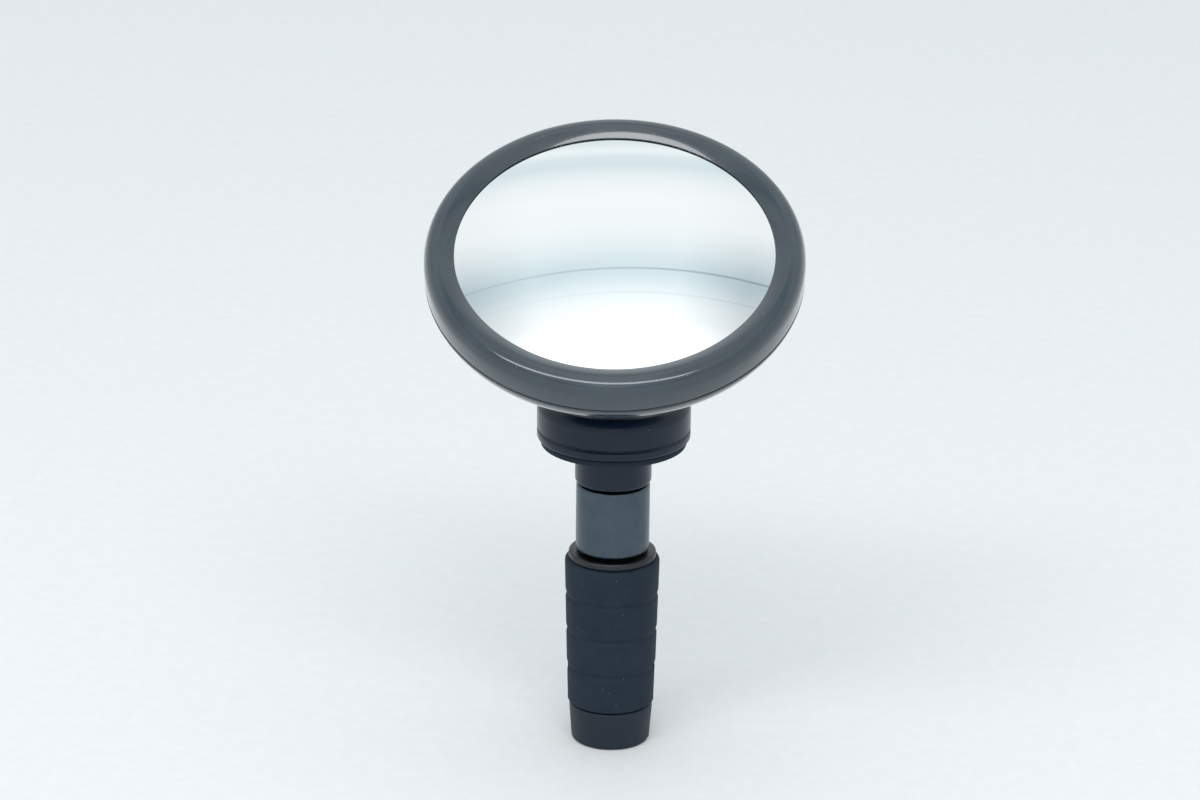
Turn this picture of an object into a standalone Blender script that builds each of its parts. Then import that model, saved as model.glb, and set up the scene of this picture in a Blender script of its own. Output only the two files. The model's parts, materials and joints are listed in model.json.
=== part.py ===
"""Bar-end bicycle mirror: a convex round mirror on a ball joint, held in a handlebar's end by an expanding plug.

Frame: the origin is the centre of the plug's inner end, and +Z runs along the plug's axis out of the bar. The
mirror head leans towards -Y at rest. The plug's heights below are measured from its seat on the bar's end, and
the head's from the ball's centre. Run it from Blender's text editor, or with
blender --background --python part.py
"""

import math

import bmesh
import bpy
from mathutils import Matrix

MM = 0.001
GAP = 0.3 * MM  # between pieces that touch or turn on each other
FINE = 36  # segments round the head and the cap
COARSE = 24  # segments round everything smaller

# Ball joint
PLUG_DEPTH = 50.0 * MM  # from the seat to the plug's inner end
BALL_CENTRE_Z = 19.0 * MM
BALL_R = 6.5 * MM
HEAD_LEAN = math.radians(28.0)
NECK_R = 2.6 * MM
SHANK_R = 2.5 * MM
SHANK_END_Z = -46.0 * MM

# Head, measured along its own axis from the ball's centre
GLASS_CURVE_R = 180.0 * MM
GLASS_R = 26.4 * MM
SIGHT_R = 24.4 * MM
GLASS_TOP = 18.44 * MM
GLASS_THICK = 1.9 * MM
PAD_R = 22.0 * MM
PAD_THICK = 0.9 * MM
CARRIER_R = 25.6 * MM
CARRIER_THICK = 1.2 * MM
THIN_GAP = 0.1 * MM  # between the bonded layers
HEAD_R = 29.0 * MM
PARTING = 12.6 * MM
BACK = 2.4 * MM
BACK_FLAT_R = 12.0 * MM
WALL = 1.8 * MM
RIM_OUTER_R = 27.2 * MM
RIM_INNER_R = 25.9 * MM
RIM_TOP = 14.35 * MM
LEDGE_R = 24.0 * MM
LEDGE_TOP = 12.15 * MM
LEDGE_THICK = 1.5 * MM
BOWL_POWER = 1.6  # 2 is an ellipse, and less is flatter

# Socket and its collar
SEAT_R = BALL_R + 0.2 * MM
SOCKET_R = 8.55 * MM
MOUTH = -3.46 * MM
FLANGE_R = 14.0 * MM
FLANGE_LOW = 7.2 * MM
FLANGE_TOP = 9.2 * MM
POCKET_R = 4.6 * MM
POCKET_TOP = 7.95 * MM
SLIT_WIDTH = 1.0 * MM
SLIT_TOP = 2.5 * MM
FRICTION_RING = (3.4 * MM, 0.9 * MM)  # to the middle of its section, and the section's radius
NECK_RING = (3.5 * MM, 0.7 * MM)
COLLAR_R = 10.9 * MM
COLLAR_BORE_R = 8.9 * MM
COLLAR_LOW = -3.3 * MM
COLLAR_TOP = 1.7 * MM
COLLAR_FLUTES = 18
FLUTE_DEPTH = 0.7 * MM
SCREW_CIRCLE_R = 11.3 * MM
SCREW_HOLE_R = 1.4 * MM
SCREW_HOLE_END = 3.6 * MM
SCREW_ANGLES = (90.0, 210.0, 330.0)

# Cap and plug, along the plug's axis
CAP_R = 12.0 * MM
CAP_LOW = 1.2 * MM
CAP_TOP = 7.6 * MM
CAP_ROUND = 1.8 * MM
RECESS_R = 6.8 * MM
RECESS_FLOOR = 5.4 * MM
SPIGOT_R = 6.0 * MM
SPIGOT_END = -6.2 * MM
BOLT_BORE_R = SHANK_R + 0.4 * MM
GASKET_R = 11.4 * MM
GASKET_BORE_R = SPIGOT_R + 0.4 * MM
GASKET_TOP = 1.0 * MM
HEX_WIDTH = 10.0 * MM  # across its flats
HEX_LOW = 6.7 * MM
HEX_TOP = 10.2 * MM
SPACER_R = 5.8 * MM
SPACER_TOP = SPIGOT_END - GAP
SPACER_END = -17.6 * MM
THRUST_R = 6.9 * MM
THRUST_TOP = SPACER_END - GAP
THRUST_END = -18.9 * MM
SLEEVE_R = 7.5 * MM  # at its upper end
SLEEVE_LOW_R = 6.9 * MM
SLEEVE_BORE_R = 3.4 * MM
SLEEVE_TOP = THRUST_END - 0.2 * MM
SLEEVE_END = -43.4 * MM
GROOVE_DEPTH = 0.35 * MM
GROOVE_HALF = 0.6 * MM
GROOVES = 3
WEDGE_TOP = -36.0 * MM
WEDGE_TOP_R = 3.8 * MM
WEDGE_BASE_TOP = -43.7 * MM
WEDGE_CONE_R = 5.8 * MM
WEDGE_R = 6.6 * MM
WEDGE_END_R = 6.2 * MM
WEDGE_ROUND = 0.8 * MM
WEDGE_END = -50.0 * MM
FIN_WIDTH = 1.6 * MM
FIN_TOP = -38.0 * MM
NUT_WIDTH = 8.0 * MM  # across its flats
NUT_TOP = -43.2 * MM
NUT_END = -47.2 * MM
COVER_R = 4.9 * MM
COVER_THICK = 1.2 * MM
SKIRT_R = 3.9 * MM
SKIRT_BORE_R = 3.1 * MM


def collection(name):
    made = bpy.data.collections.new(name)
    bpy.context.scene.collection.children.link(made)
    return made


def clear_scene():
    for obj in list(bpy.data.objects):
        bpy.data.objects.remove(obj)


def principled(name, colour, roughness, metallic=0.0):
    made = bpy.data.materials.new(name)
    made.use_nodes = True
    shader = made.node_tree.nodes["Principled BSDF"]
    shader.inputs["Base Color"].default_value = (*colour, 1.0)
    shader.inputs["Roughness"].default_value = roughness
    shader.inputs["Metallic"].default_value = metallic
    return made


def add_object(name, data, parent, where, material=None):
    obj = bpy.data.objects.new(name, data)
    where.objects.link(obj)
    obj.parent = parent
    if material:
        data.materials.append(material)
    return obj


def empty(name, location=(0, 0, 0), lean=0.0):
    made = add_object(name, None, None, PARTS)
    made.location = location
    made.rotation_euler = (lean, 0, 0)
    return made


def baked(obj):
    """Replaces the object's mesh by its evaluated one, with outward normals and smooth round faces."""
    bpy.context.view_layer.update()
    graph = bpy.context.evaluated_depsgraph_get()
    mesh = bpy.data.meshes.new_from_object(obj.evaluated_get(graph))
    obj.modifiers.clear()
    obj.data = mesh
    work = bmesh.new()
    work.from_mesh(mesh)
    bmesh.ops.recalc_face_normals(work, faces=work.faces)
    work.to_mesh(mesh)
    work.free()
    mesh.shade_smooth()
    mesh.set_sharp_from_angle(angle=math.radians(35))
    return obj


def turned(name, profile, parent, where, material=None, segments=COARSE):
    """A solid of revolution about its own Z, from (radius, height) points down the outside and back up the inside."""
    mesh = bpy.data.meshes.new(name)
    count = len(profile)
    on_axis = profile[0][0] == 0 and profile[-1][0] == 0
    edges = [(i, i + 1) for i in range(count - 1)]
    if not on_axis:
        edges.append((count - 1, 0))
    mesh.from_pydata([(radius, 0, height) for radius, height in profile], edges, [])
    obj = add_object(name, mesh, parent, where, material)
    screw = obj.modifiers.new("Turn", "SCREW")
    screw.axis = "Z"
    screw.angle = 2 * math.pi
    screw.steps = segments
    screw.render_steps = segments
    screw.use_merge_vertices = True
    screw.merge_threshold = 0.01 * MM
    return baked(obj)


def ring(name, outer, inner, top, bottom, parent, where, material=None, chamfer=0.0):
    """A washer or tube, its outer edges chamfered."""
    profile = [(inner, top), (outer - chamfer, top), (outer, top - chamfer)]
    profile += [(outer, bottom + chamfer), (outer - chamfer, bottom), (inner, bottom)]
    if not chamfer:
        profile = [(inner, top), (outer, top), (outer, bottom), (inner, bottom)]
    return turned(name, profile, parent, where, material)


def prism(name, sides, radius, top, bottom, parent, where, turn=0.0, material=None):
    """An upright prism; radius is out to its corners."""
    mesh = bpy.data.meshes.new(name)
    work = bmesh.new()
    placed = Matrix.Translation((0, 0, (top + bottom) / 2)) @ Matrix.Rotation(turn, 4, "Z")
    bmesh.ops.create_cone(
        work,
        cap_ends=True,
        segments=sides,
        radius1=radius,
        radius2=radius,
        depth=top - bottom,
        matrix=placed,
    )
    work.to_mesh(mesh)
    work.free()
    return add_object(name, mesh, parent, where, material)


def box(name, size, centre, parent, where, turn=0.0):
    mesh = bpy.data.meshes.new(name)
    work = bmesh.new()
    scaled = Matrix.Diagonal((*size, 1.0))
    placed = Matrix.Rotation(turn, 4, "Z") @ Matrix.Translation(centre) @ scaled
    bmesh.ops.create_cube(work, size=1.0, matrix=placed)
    work.to_mesh(mesh)
    work.free()
    return add_object(name, mesh, parent, where)


def torus(name, ring_size, height, parent, material):
    """An O-ring: a turned circle."""
    middle, section = ring_size
    corners = 10
    profile = []
    for k in range(corners):
        angle = -2 * math.pi * k / corners
        profile.append((middle + section * math.cos(angle), height + section * math.sin(angle)))
    return turned(name, profile, parent, PARTS, material)


def boolean(obj, tool, operation="DIFFERENCE"):
    """Cuts or joins a helper shape, which is then left out of the model."""
    modifier = obj.modifiers.new(tool.name, "BOOLEAN")
    modifier.object = tool
    modifier.operation = operation
    modifier.solver = "EXACT"
    tool.hide_render = True
    tool.display_type = "WIRE"


def arc(centre_r, centre_h, radius, start, end, count):
    """Points on a circle in the (radius, height) plane, by angle in degrees from the radius direction."""
    points = []
    for k in range(count):
        angle = math.radians(start + (end - start) * k / (count - 1))
        points.append((centre_r + radius * math.cos(angle), centre_h + radius * math.sin(angle)))
    return points


def dished(top, edge_r, count=4):
    """The mirror's curve from the axis to a radius, with its middle at this height."""
    points = []
    for k in range(count):
        radius = edge_r * k / (count - 1)
        drop = GLASS_CURVE_R - math.sqrt(GLASS_CURVE_R**2 - radius**2)
        points.append((radius, top - drop))
    return points


def dished_plate(name, top, thickness, edge_r, material, count=4):
    profile = dished(top, edge_r, count) + dished(top - thickness, edge_r, count)[::-1]
    return turned(name, profile, HEAD, PARTS, material, FINE)


def bowl(offset, start, end, count):
    """The back of the head, moved inwards by an offset, as (radius, height) points from its rim to its flat back."""
    points = []
    across = HEAD_R - BACK_FLAT_R - offset
    deep = PARTING - BACK - offset
    for k in range(count):
        share = start + (end - start) * k / (count - 1)
        out = math.cos(share * math.pi / 2)
        down = (1 - out**BOWL_POWER) ** (1 / BOWL_POWER)
        points.append((BACK_FLAT_R + across * out, PARTING - deep * down))
    return points


def build_mirror():
    """The glass, the foam that bonds it and the plate behind it."""
    dished_plate("mirror_glass", GLASS_TOP, GLASS_THICK, GLASS_R, MIRROR, count=6)
    pad_top = GLASS_TOP - GLASS_THICK - THIN_GAP
    dished_plate("foam_pad", pad_top, PAD_THICK, PAD_R, FOAM)
    carrier_top = pad_top - PAD_THICK - THIN_GAP
    dished_plate("carrier_plate", carrier_top, CARRIER_THICK, CARRIER_R, MATTE_BLACK)


def build_bezel():
    """The front ring, which snaps over the housing's rim and laps over the glass."""
    low = PARTING + 0.2 * MM
    lip = GLASS_TOP - 1.45 * MM
    crown = GLASS_TOP - 0.39 * MM
    profile = [(SIGHT_R, lip), (HEAD_R - 3.5 * MM, lip + 0.6 * MM)]
    profile += [(HEAD_R - 2.4 * MM, crown), (HEAD_R - 1.3 * MM, crown - 0.3 * MM)]
    profile += [(HEAD_R - 0.45 * MM, crown - 1.3 * MM), (HEAD_R, crown - 2.55 * MM), (HEAD_R, low)]
    snap_r = RIM_OUTER_R + GAP
    profile += [(snap_r, low), (snap_r, RIM_TOP + 0.2 * MM)]
    bore_r = GLASS_R + GAP
    profile += [(bore_r, RIM_TOP + 0.2 * MM), (bore_r, lip - 0.2 * MM), (SIGHT_R, lip - 0.1 * MM)]
    turned("bezel_ring", profile, HEAD, PARTS, GLOSS_BLACK, FINE)


def build_housing():
    """The bowl-shaped shell, with a rim for the bezel, a ledge for the plate and a boss for the socket."""
    bore_r = SOCKET_R + GAP
    boss_r = FLANGE_R + 0.4 * MM
    boss_top = FLANGE_LOW - 0.2 * MM
    profile = [(RIM_INNER_R, RIM_TOP), (RIM_OUTER_R, RIM_TOP), (RIM_OUTER_R, PARTING)]
    profile += bowl(0.0, 0.0, 1.0, 9)
    profile += [(bore_r, BACK), (bore_r, boss_top), (boss_r, boss_top)]
    boss_foot = math.acos((boss_r - BACK_FLAT_R) / (HEAD_R - BACK_FLAT_R - WALL)) / (math.pi / 2)
    profile += bowl(WALL, boss_foot, 0.28, 5)
    profile += [(LEDGE_R, LEDGE_TOP - LEDGE_THICK), (LEDGE_R, LEDGE_TOP), (RIM_INNER_R, LEDGE_TOP)]
    housing = turned("housing", profile, HEAD, PARTS, GLOSS_BLACK, FINE)
    drill_screw_holes(housing, boss_top + GAP, SCREW_HOLE_END)


def drill_screw_holes(obj, top, bottom):
    for count, degrees in enumerate(SCREW_ANGLES, 1):
        drill = prism(f"{obj.name}_drill_{count}", 12, SCREW_HOLE_R, top, bottom, HEAD, CUTTERS)
        angle = math.radians(degrees)
        drill.location = (SCREW_CIRCLE_R * math.cos(angle), SCREW_CIRCLE_R * math.sin(angle), 0)
        boolean(obj, drill)


def build_socket():
    """The slit socket, whose four fingers grip the ball when the collar is tight."""
    mouth_r = math.sqrt(SEAT_R**2 - MOUTH**2)
    mouth_angle = math.degrees(math.atan2(MOUTH, mouth_r))
    pocket_angle = math.degrees(math.acos(POCKET_R / SEAT_R))
    profile = [(0, FLANGE_TOP), (FLANGE_R, FLANGE_TOP), (FLANGE_R, FLANGE_LOW)]
    profile += [(SOCKET_R, FLANGE_LOW), (SOCKET_R, MOUTH + 0.5 * MM), (SOCKET_R - 0.5 * MM, MOUTH)]
    profile += arc(0, 0, SEAT_R, mouth_angle, pocket_angle, 8)
    profile += [(POCKET_R, POCKET_TOP), (0, POCKET_TOP)]
    socket = turned("ball_socket", profile, HEAD, PARTS, NYLON)
    slit_bottom = MOUTH - GAP
    size = (3 * SOCKET_R, SLIT_WIDTH, SLIT_TOP - slit_bottom)
    centre = (0, 0, (SLIT_TOP + slit_bottom) / 2)
    for count, degrees in enumerate((45.0, 135.0), 1):
        slit = box(f"socket_slit_{count}", size, centre, HEAD, CUTTERS, math.radians(degrees))
        boolean(socket, slit)
    drill_screw_holes(socket, FLANGE_TOP + GAP, FLANGE_LOW - GAP)
    section = FRICTION_RING[1]
    ring_height = math.sqrt((SEAT_R + section) ** 2 - FRICTION_RING[0] ** 2)
    torus("friction_ring", FRICTION_RING, ring_height, HEAD, RUBBER)


def build_screws():
    """Three self-tapping screws that hold the socket's flange to the housing."""
    head_low = FLANGE_TOP + 0.2 * MM
    for count, degrees in enumerate(SCREW_ANGLES, 1):
        profile = [(0, head_low + 1.4 * MM), (1.3 * MM, head_low + 1.3 * MM)]
        profile += [(2.1 * MM, head_low + 0.7 * MM), (2.1 * MM, head_low), (1.1 * MM, head_low)]
        profile += [(1.1 * MM, SCREW_HOLE_END + 1.1 * MM), (0, SCREW_HOLE_END + 0.4 * MM)]
        screw = turned(f"socket_screw_{count}", profile, HEAD, PARTS, ZINC, 14)
        angle = math.radians(degrees)
        screw.location = (SCREW_CIRCLE_R * math.cos(angle), SCREW_CIRCLE_R * math.sin(angle), 0)
        for side, turn in enumerate((0.0, math.pi / 2), 1):
            size = (2.4 * MM, 0.5 * MM, 1.4 * MM)
            centre = (0, 0, head_low + 1.4 * MM)
            slot = box(f"screw_slot_{count}_{side}", size, centre, HEAD, CUTTERS, turn)
            slot.location = screw.location
            boolean(screw, slot)


def build_collar():
    """The fluted ring nut on the socket's fingers, as a flat outline with a round hole."""
    curve = bpy.data.curves.new("lock_collar", "CURVE")
    curve.dimensions = "2D"
    curve.fill_mode = "BOTH"
    curve.extrude = (COLLAR_TOP - COLLAR_LOW) / 2
    outer_count = COLLAR_FLUTES * 4
    outlines = (
        [COLLAR_R - FLUTE_DEPTH * (k % 4 == 2) - 0.35 * FLUTE_DEPTH * (k % 2) for k in range(outer_count)],
        [COLLAR_BORE_R] * COARSE,
    )
    for radii in outlines:
        spline = curve.splines.new("POLY")
        spline.points.add(len(radii) - 1)
        spline.use_cyclic_u = True
        for k, radius in enumerate(radii):
            angle = 2 * math.pi * k / len(radii)
            spline.points[k].co = (radius * math.cos(angle), radius * math.sin(angle), 0, 1)
    collar = add_object("lock_collar", curve, HEAD, PARTS, MATTE_BLACK)
    collar.location = (0, 0, (COLLAR_TOP + COLLAR_LOW) / 2)


def build_stud():
    """The ball stud, which is also the plug's draw bolt, with its washer and dust ring."""
    neck_angle = math.degrees(math.asin(NECK_R / BALL_R))
    top_angle = 80.0
    profile = [(0, BALL_CENTRE_Z + BALL_R * math.sin(math.radians(top_angle)))]
    profile += arc(0, BALL_CENTRE_Z, BALL_R, top_angle, neck_angle - 90, 10)
    shank_top = HEX_TOP - 1.0 * MM
    profile += [(NECK_R, shank_top), (SHANK_R, shank_top), (SHANK_R, SHANK_END_Z + 0.5 * MM)]
    profile += [(SHANK_R - 0.5 * MM, SHANK_END_Z), (0, SHANK_END_Z)]
    stud = turned("ball_stud", profile, PLUG, PARTS, ZINC)
    corner_r = HEX_WIDTH / 2 / math.cos(math.pi / 6)
    hexagon = prism("stud_hexagon", 6, corner_r, HEX_TOP, HEX_LOW, PLUG, CUTTERS)
    boolean(stud, hexagon, "UNION")

    washer_top = HEX_LOW - 0.15 * MM
    washer_low = RECESS_FLOOR + 0.2 * MM
    washer = ring("spring_washer", 4.6 * MM, BOLT_BORE_R, washer_top, washer_low, PLUG, PARTS, ZINC)
    size = (6.0 * MM, 0.9 * MM, 3.0 * MM)
    split = box("washer_split", size, (4.5 * MM, 0, (washer_top + washer_low) / 2), PLUG, CUTTERS)
    boolean(washer, split)

    torus("neck_ring", NECK_RING, HEX_TOP + 0.25 * MM + NECK_RING[1], PLUG, RUBBER)


def build_cap():
    """The end cap with its spigot, and the gasket between it and the bar."""
    profile = [(BOLT_BORE_R, RECESS_FLOOR), (RECESS_R, RECESS_FLOOR), (RECESS_R, CAP_TOP)]
    profile += arc(CAP_R - CAP_ROUND, CAP_TOP - CAP_ROUND, CAP_ROUND, 90, 0, 4)
    profile += [(CAP_R, CAP_LOW + 0.4 * MM), (CAP_R - 0.4 * MM, CAP_LOW), (SPIGOT_R, CAP_LOW)]
    profile += [(SPIGOT_R, SPIGOT_END + 0.6 * MM), (SPIGOT_R - 0.6 * MM, SPIGOT_END)]
    profile += [(BOLT_BORE_R, SPIGOT_END)]
    turned("end_cap", profile, PLUG, PARTS, GLOSS_BLACK, FINE)
    ring("bar_end_gasket", GASKET_R, GASKET_BORE_R, GASKET_TOP, 0.0, PLUG, PARTS, RUBBER)


def wedge_radius(height):
    share = (WEDGE_TOP - height) / (WEDGE_TOP - WEDGE_BASE_TOP)
    return WEDGE_TOP_R + (WEDGE_CONE_R - WEDGE_TOP_R) * share


def sleeve_radius(height):
    share = (SLEEVE_TOP - height) / (SLEEVE_TOP - SLEEVE_END)
    return SLEEVE_R + (SLEEVE_LOW_R - SLEEVE_R) * share


def build_plug():
    """The spacer, the washer, the rubber sleeve, and the wedge that spreads it with its nut and cover."""
    spacer = (SPACER_R, BOLT_BORE_R + GAP, SPACER_TOP, SPACER_END)
    ring("spacer_tube", *spacer, PLUG, PARTS, DARK_ALUMINIUM, chamfer=0.4 * MM)
    ring("thrust_washer", THRUST_R, BOLT_BORE_R, THRUST_TOP, THRUST_END, PLUG, PARTS, BLACK_STEEL)

    profile = [(SLEEVE_BORE_R, SLEEVE_TOP), (SLEEVE_R - 0.6 * MM, SLEEVE_TOP)]
    profile += [(SLEEVE_R, SLEEVE_TOP - 0.6 * MM)]
    pitch = (SLEEVE_TOP - SLEEVE_END) / (GROOVES + 1)
    for k in range(1, GROOVES + 1):
        middle = SLEEVE_TOP - k * pitch
        profile.append((sleeve_radius(middle + GROOVE_HALF), middle + GROOVE_HALF))
        profile.append((sleeve_radius(middle) - GROOVE_DEPTH, middle))
        profile.append((sleeve_radius(middle - GROOVE_HALF), middle - GROOVE_HALF))
    mouth_gap = 0.35 * MM
    slope = (WEDGE_CONE_R - WEDGE_TOP_R) / (WEDGE_TOP - WEDGE_BASE_TOP)
    mouth_top = WEDGE_TOP + (WEDGE_TOP_R + mouth_gap - SLEEVE_BORE_R) / slope
    profile += [(SLEEVE_LOW_R, SLEEVE_END), (wedge_radius(SLEEVE_END) + mouth_gap, SLEEVE_END)]
    profile += [(SLEEVE_BORE_R, mouth_top)]
    sleeve = turned("rubber_sleeve", profile, PLUG, PARTS, RUBBER)
    slot_top = FIN_TOP + 1.2 * MM
    slot_low = SLEEVE_END - GAP
    size = (3 * SLEEVE_R, FIN_WIDTH + 2 * GAP, slot_top - slot_low)
    slot = box("sleeve_slot", size, (0, 0, (slot_top + slot_low) / 2), PLUG, CUTTERS)
    boolean(sleeve, slot)

    profile = [(BOLT_BORE_R, WEDGE_TOP), (WEDGE_TOP_R, WEDGE_TOP), (WEDGE_CONE_R, WEDGE_BASE_TOP)]
    profile += [(WEDGE_R, WEDGE_BASE_TOP), (WEDGE_R, WEDGE_BASE_TOP - WEDGE_ROUND)]
    profile += arc(WEDGE_END_R - WEDGE_ROUND, WEDGE_END + WEDGE_ROUND, WEDGE_ROUND, 0, -90, 4)
    cover_top = WEDGE_END + COVER_THICK
    profile += [(COVER_R + GAP, WEDGE_END), (COVER_R + GAP, cover_top + GAP)]
    profile += [(BOLT_BORE_R, cover_top + GAP)]
    wedge = turned("wedge_nut", profile, PLUG, PARTS, MATTE_BLACK)
    fin_low = WEDGE_BASE_TOP - 0.5 * MM
    for count, side in enumerate((1, -1), 1):
        reach = WEDGE_R - 0.2 * MM - WEDGE_TOP_R
        middle_x = side * (WEDGE_TOP_R + reach / 2)
        size = (reach, FIN_WIDTH, FIN_TOP - fin_low)
        fin = box(f"wedge_fin_{count}", size, (middle_x, 0, (FIN_TOP + fin_low) / 2), PLUG, CUTTERS)
        boolean(wedge, fin, "UNION")
    pocket_r = (NUT_WIDTH / 2 + GAP) / math.cos(math.pi / 6)
    pocket = prism("nut_pocket", 6, pocket_r, NUT_TOP + GAP, cover_top, PLUG, CUTTERS)
    boolean(wedge, pocket)

    corner_r = NUT_WIDTH / 2 / math.cos(math.pi / 6)
    nut = prism("insert_nut", 6, corner_r, NUT_TOP, NUT_END, PLUG, PARTS, material=BRASS)
    thread = prism("nut_thread", COARSE, SHANK_R + GAP, NUT_TOP + GAP, NUT_END - GAP, PLUG, CUTTERS)
    boolean(nut, thread)

    skirt_top = NUT_END - 0.2 * MM
    profile = [(0, cover_top), (SKIRT_BORE_R, cover_top), (SKIRT_BORE_R, skirt_top)]
    profile += [(SKIRT_R, skirt_top), (SKIRT_R, cover_top), (COVER_R, cover_top)]
    profile += [(COVER_R, WEDGE_END), (0, WEDGE_END)]
    turned("end_cover", profile, PLUG, PARTS, MATTE_BLACK)


clear_scene()
PARTS = collection("bar_end_mirror")
CUTTERS = collection("cutters")
GLOSS_BLACK = principled("gloss_black", (0.020, 0.022, 0.026), 0.25)
MATTE_BLACK = principled("matte_black", (0.030, 0.032, 0.035), 0.55)
NYLON = principled("black_nylon", (0.025, 0.025, 0.028), 0.45)
RUBBER = principled("rubber", (0.018, 0.018, 0.019), 0.85)
MIRROR = principled("mirror", (0.90, 0.93, 0.95), 0.02, 1.0)
FOAM = principled("foam", (0.75, 0.75, 0.72), 0.95)
ZINC = principled("zinc_steel", (0.62, 0.63, 0.64), 0.28, 1.0)
BLACK_STEEL = principled("black_steel", (0.045, 0.048, 0.052), 0.40, 1.0)
DARK_ALUMINIUM = principled("dark_aluminium", (0.075, 0.085, 0.10), 0.35, 1.0)
BRASS = principled("brass", (0.72, 0.55, 0.27), 0.35, 1.0)
PLUG = empty("bar_end_seat", (0, 0, PLUG_DEPTH))
HEAD = empty("ball_centre", (0, 0, PLUG_DEPTH + BALL_CENTRE_Z), HEAD_LEAN)

build_cap()
build_plug()
build_stud()
build_socket()
build_screws()
build_collar()
build_housing()
build_mirror()
build_bezel()
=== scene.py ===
"""The looks of the bar-end bicycle mirror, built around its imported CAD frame.

Each CAD node is stood for by a finer piece with rounded edges, threads, flutes and a procedural
material, made on the same axes and to the same sizes. A place is a matrix: PLUG has its origin at
the centre of the seat on the bar's end, and HEAD has its origin at the ball's centre and its Z
along the mirror's own axis.
"""

import json
import math
from collections import namedtuple

import bmesh
import bpy
from mathutils import Matrix, Vector

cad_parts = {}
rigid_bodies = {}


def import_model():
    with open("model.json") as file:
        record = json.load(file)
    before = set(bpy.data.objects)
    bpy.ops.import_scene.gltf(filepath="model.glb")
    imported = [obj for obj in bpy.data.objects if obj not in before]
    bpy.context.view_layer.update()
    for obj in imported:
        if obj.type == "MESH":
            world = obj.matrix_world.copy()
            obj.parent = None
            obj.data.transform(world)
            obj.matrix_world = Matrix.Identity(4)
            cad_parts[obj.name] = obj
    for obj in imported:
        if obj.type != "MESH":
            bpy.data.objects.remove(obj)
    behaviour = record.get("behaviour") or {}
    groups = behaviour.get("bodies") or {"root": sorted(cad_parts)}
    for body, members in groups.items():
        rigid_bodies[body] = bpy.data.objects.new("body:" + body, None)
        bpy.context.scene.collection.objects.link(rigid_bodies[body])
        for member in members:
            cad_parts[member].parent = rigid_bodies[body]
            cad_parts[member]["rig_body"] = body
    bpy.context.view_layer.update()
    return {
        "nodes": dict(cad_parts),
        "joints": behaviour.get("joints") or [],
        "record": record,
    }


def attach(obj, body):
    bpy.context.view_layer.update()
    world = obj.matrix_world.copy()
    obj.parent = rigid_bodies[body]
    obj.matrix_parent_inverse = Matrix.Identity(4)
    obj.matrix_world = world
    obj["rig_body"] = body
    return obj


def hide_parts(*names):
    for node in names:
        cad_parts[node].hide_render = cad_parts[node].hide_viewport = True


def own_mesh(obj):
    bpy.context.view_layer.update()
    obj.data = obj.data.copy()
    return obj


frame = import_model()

MM = 0.001
TINY = 1e-7
ON_WALL = 1e-6  # how far from a radius or a height a point may be and still count as on it
ON_AXIS = 1e-5
TURN = 2 * math.pi

CREASE = 0.10 * MM  # fillets, from the sharpest to the softest
FINE = 0.15 * MM
EDGE = 0.20 * MM
ROUND = 0.25 * MM
SOFT = 0.30 * MM
BROAD = 0.40 * MM
GAP = 0.20 * MM  # clearances: between faces, round a fitted piece and round a loose one
FIT = 0.30 * MM
LOOSE = 0.40 * MM

FILLET_STEPS = 4
FILLET_SHARE = 0.45  # the most of an outline's side that one fillet takes
SHARP_ANGLE = math.radians(32)
SMALL_SEGMENTS = 72  # both counts divide by 6, so that a hexagon's corners fall on points
LARGE_SEGMENTS = 144
COLLAR_SEGMENTS = 216  # 12 to each of the collar's flutes
HOLE_SEGMENTS = 36
SCREW_SEGMENTS = 48

HEX_FLATS = 10.0 * MM
BOLT_PITCH = 0.8 * MM
THREAD_TOP = -25.0 * MM  # where the stud's thread ends, from the plug's seat
COVER_THICK = 1.2 * MM
COLLAR_PITCH = 1.0 * MM
COLLAR_FLUTES = 18
SCREW_PITCH = 0.8 * MM
SCREW_NUMBERS = (1, 2, 3)
SCREW_HOLE_R = 1.4 * MM
PITCH_POINTS = 8  # points along one pitch of a thread
BOWL_POWER = 1.6  # how full the bowl is: at 2 it would be an ellipse

PLASTIC_DUST = (0.42, 0.43, 0.44, 1)
RUBBER_BLACK = (0.005, 0.014, 0.026, 1)
RUBBER_BLOOM = (0.014, 0.025, 0.040, 1)
RUBBER_EDGE = (0.045, 0.056, 0.068, 1)
RUBBER_DUST = (0.35, 0.35, 0.34, 1)
SILVER = (0.93, 0.955, 0.965, 1)
SILVER_DUST = (0.62, 0.64, 0.66, 1)
GLASS_EDGE = (0.05, 0.11, 0.10, 1)
# painted shade: the darker tone in the pits of the foam's cells
FOAM_PIT_SHADE = (0.50, 0.50, 0.47, 1)
FOAM_WALL = (0.78, 0.78, 0.74, 1)

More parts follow.
